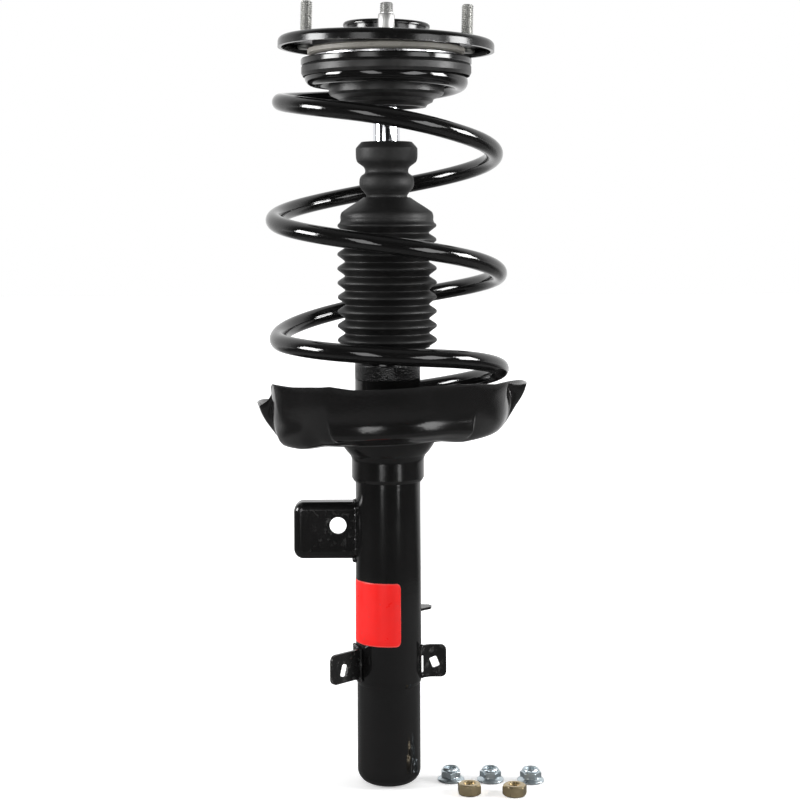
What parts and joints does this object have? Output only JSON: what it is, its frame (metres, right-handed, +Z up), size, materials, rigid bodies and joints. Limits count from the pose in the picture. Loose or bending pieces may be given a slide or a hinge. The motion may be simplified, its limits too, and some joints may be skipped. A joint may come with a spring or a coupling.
{
  "type": "strut assembly",
  "caption": "Complete front suspension strut: coil spring over a twin-tube damper with rubber upper mount, steering bearing, dust boot and clamp-type round lower end.",
  "frame": {"origin": "centre of the closed lower end of the strut tube", "axes": "+Z up the strut axis, -Y towards the label side, -X towards the anti-roll bar link bracket"},
  "size_m": [0.2361, 0.1998, 0.6381],
  "materials": {
    "black_paint": "gloss black dip paint",
    "spring_coating": "gloss black powder coat",
    "bearing_plastic": "tan-grey moulded plastic",
    "black_rubber": "smooth black rubber",
    "boot_rubber": "matt black rubber",
    "stop_foam": "matt black foam",
    "chrome_rod": "mirror chrome",
    "plain_steel": "machined steel",
    "sintered_iron": "sintered iron",
    "bush_bronze": "bronze backed bush",
    "piston_band": "filled plastic band",
    "phosphate_steel": "grey phosphate",
    "bright_steel": "bright zinc",
    "red_label": "blank red vinyl",
    "blue_zinc": "blue zinc plate",
    "yellow_zinc": "yellow chromate zinc plate"
  },
  "bodies": {
    "strut_body": {"strut_tube": "black_paint", "pressure_tube": "plain_steel", "base_valve": "sintered_iron", "base_valve_disc": "plain_steel", "base_valve_rivet": "plain_steel", "rod_guide": "sintered_iron", "guide_bush": "bush_bronze", "rod_seal": "black_rubber", "tube_cap": "black_paint", "lower_spring_seat": "black_paint", "lower_spring_pad": "black_rubber", "seat_neck": "black_paint", "link_bracket": "black_paint", "wire_bracket": "black_paint", "hose_bracket": "black_paint", "stop_tab": "black_paint", "label": "red_label", "mount_flange_nuts": "blue_zinc", "link_nuts": "yellow_zinc"},
    "spring_top": {"bearing_lower_ring": "plain_steel", "bearing_balls": "plain_steel", "upper_spring_seat": "black_paint", "spring_isolator": "black_rubber", "coil_spring": "spring_coating", "bump_stop": "stop_foam", "dust_boot": "boot_rubber"},
    "top_mount": {"mount_plate": "black_paint", "mount_collar": "black_paint", "mount_bush": "black_rubber", "inner_sleeve": "plain_steel", "mount_pad": "black_rubber", "body_studs": "phosphate_steel", "locating_stud": "bright_steel", "bearing_upper_ring": "bearing_plastic", "piston_rod": "chrome_rod", "rebound_washer": "plain_steel", "rod_nut": "plain_steel", "rebound_stop": "plain_steel", "compression_disc": "plain_steel", "piston": "sintered_iron", "piston_ring": "piston_band", "rebound_disc": "plain_steel", "piston_nut": "plain_steel"}
  },
  "joints": [
    {"name": "stroke", "type": "slide", "parent": "strut_body", "child": "spring_top", "axis": [0, 0, -1], "range_m": [0, 0.148], "stiffness_N_per_m": 26000, "springref_m": -0.03, "deforming": ["coil_spring", "bump_stop", "dust_boot"]},
    {"name": "steer", "type": "hinge", "parent": "spring_top", "child": "top_mount", "pos_m": [0, 0, 0.588], "axis": [0, 0, 1], "continuous": true}
  ]
}
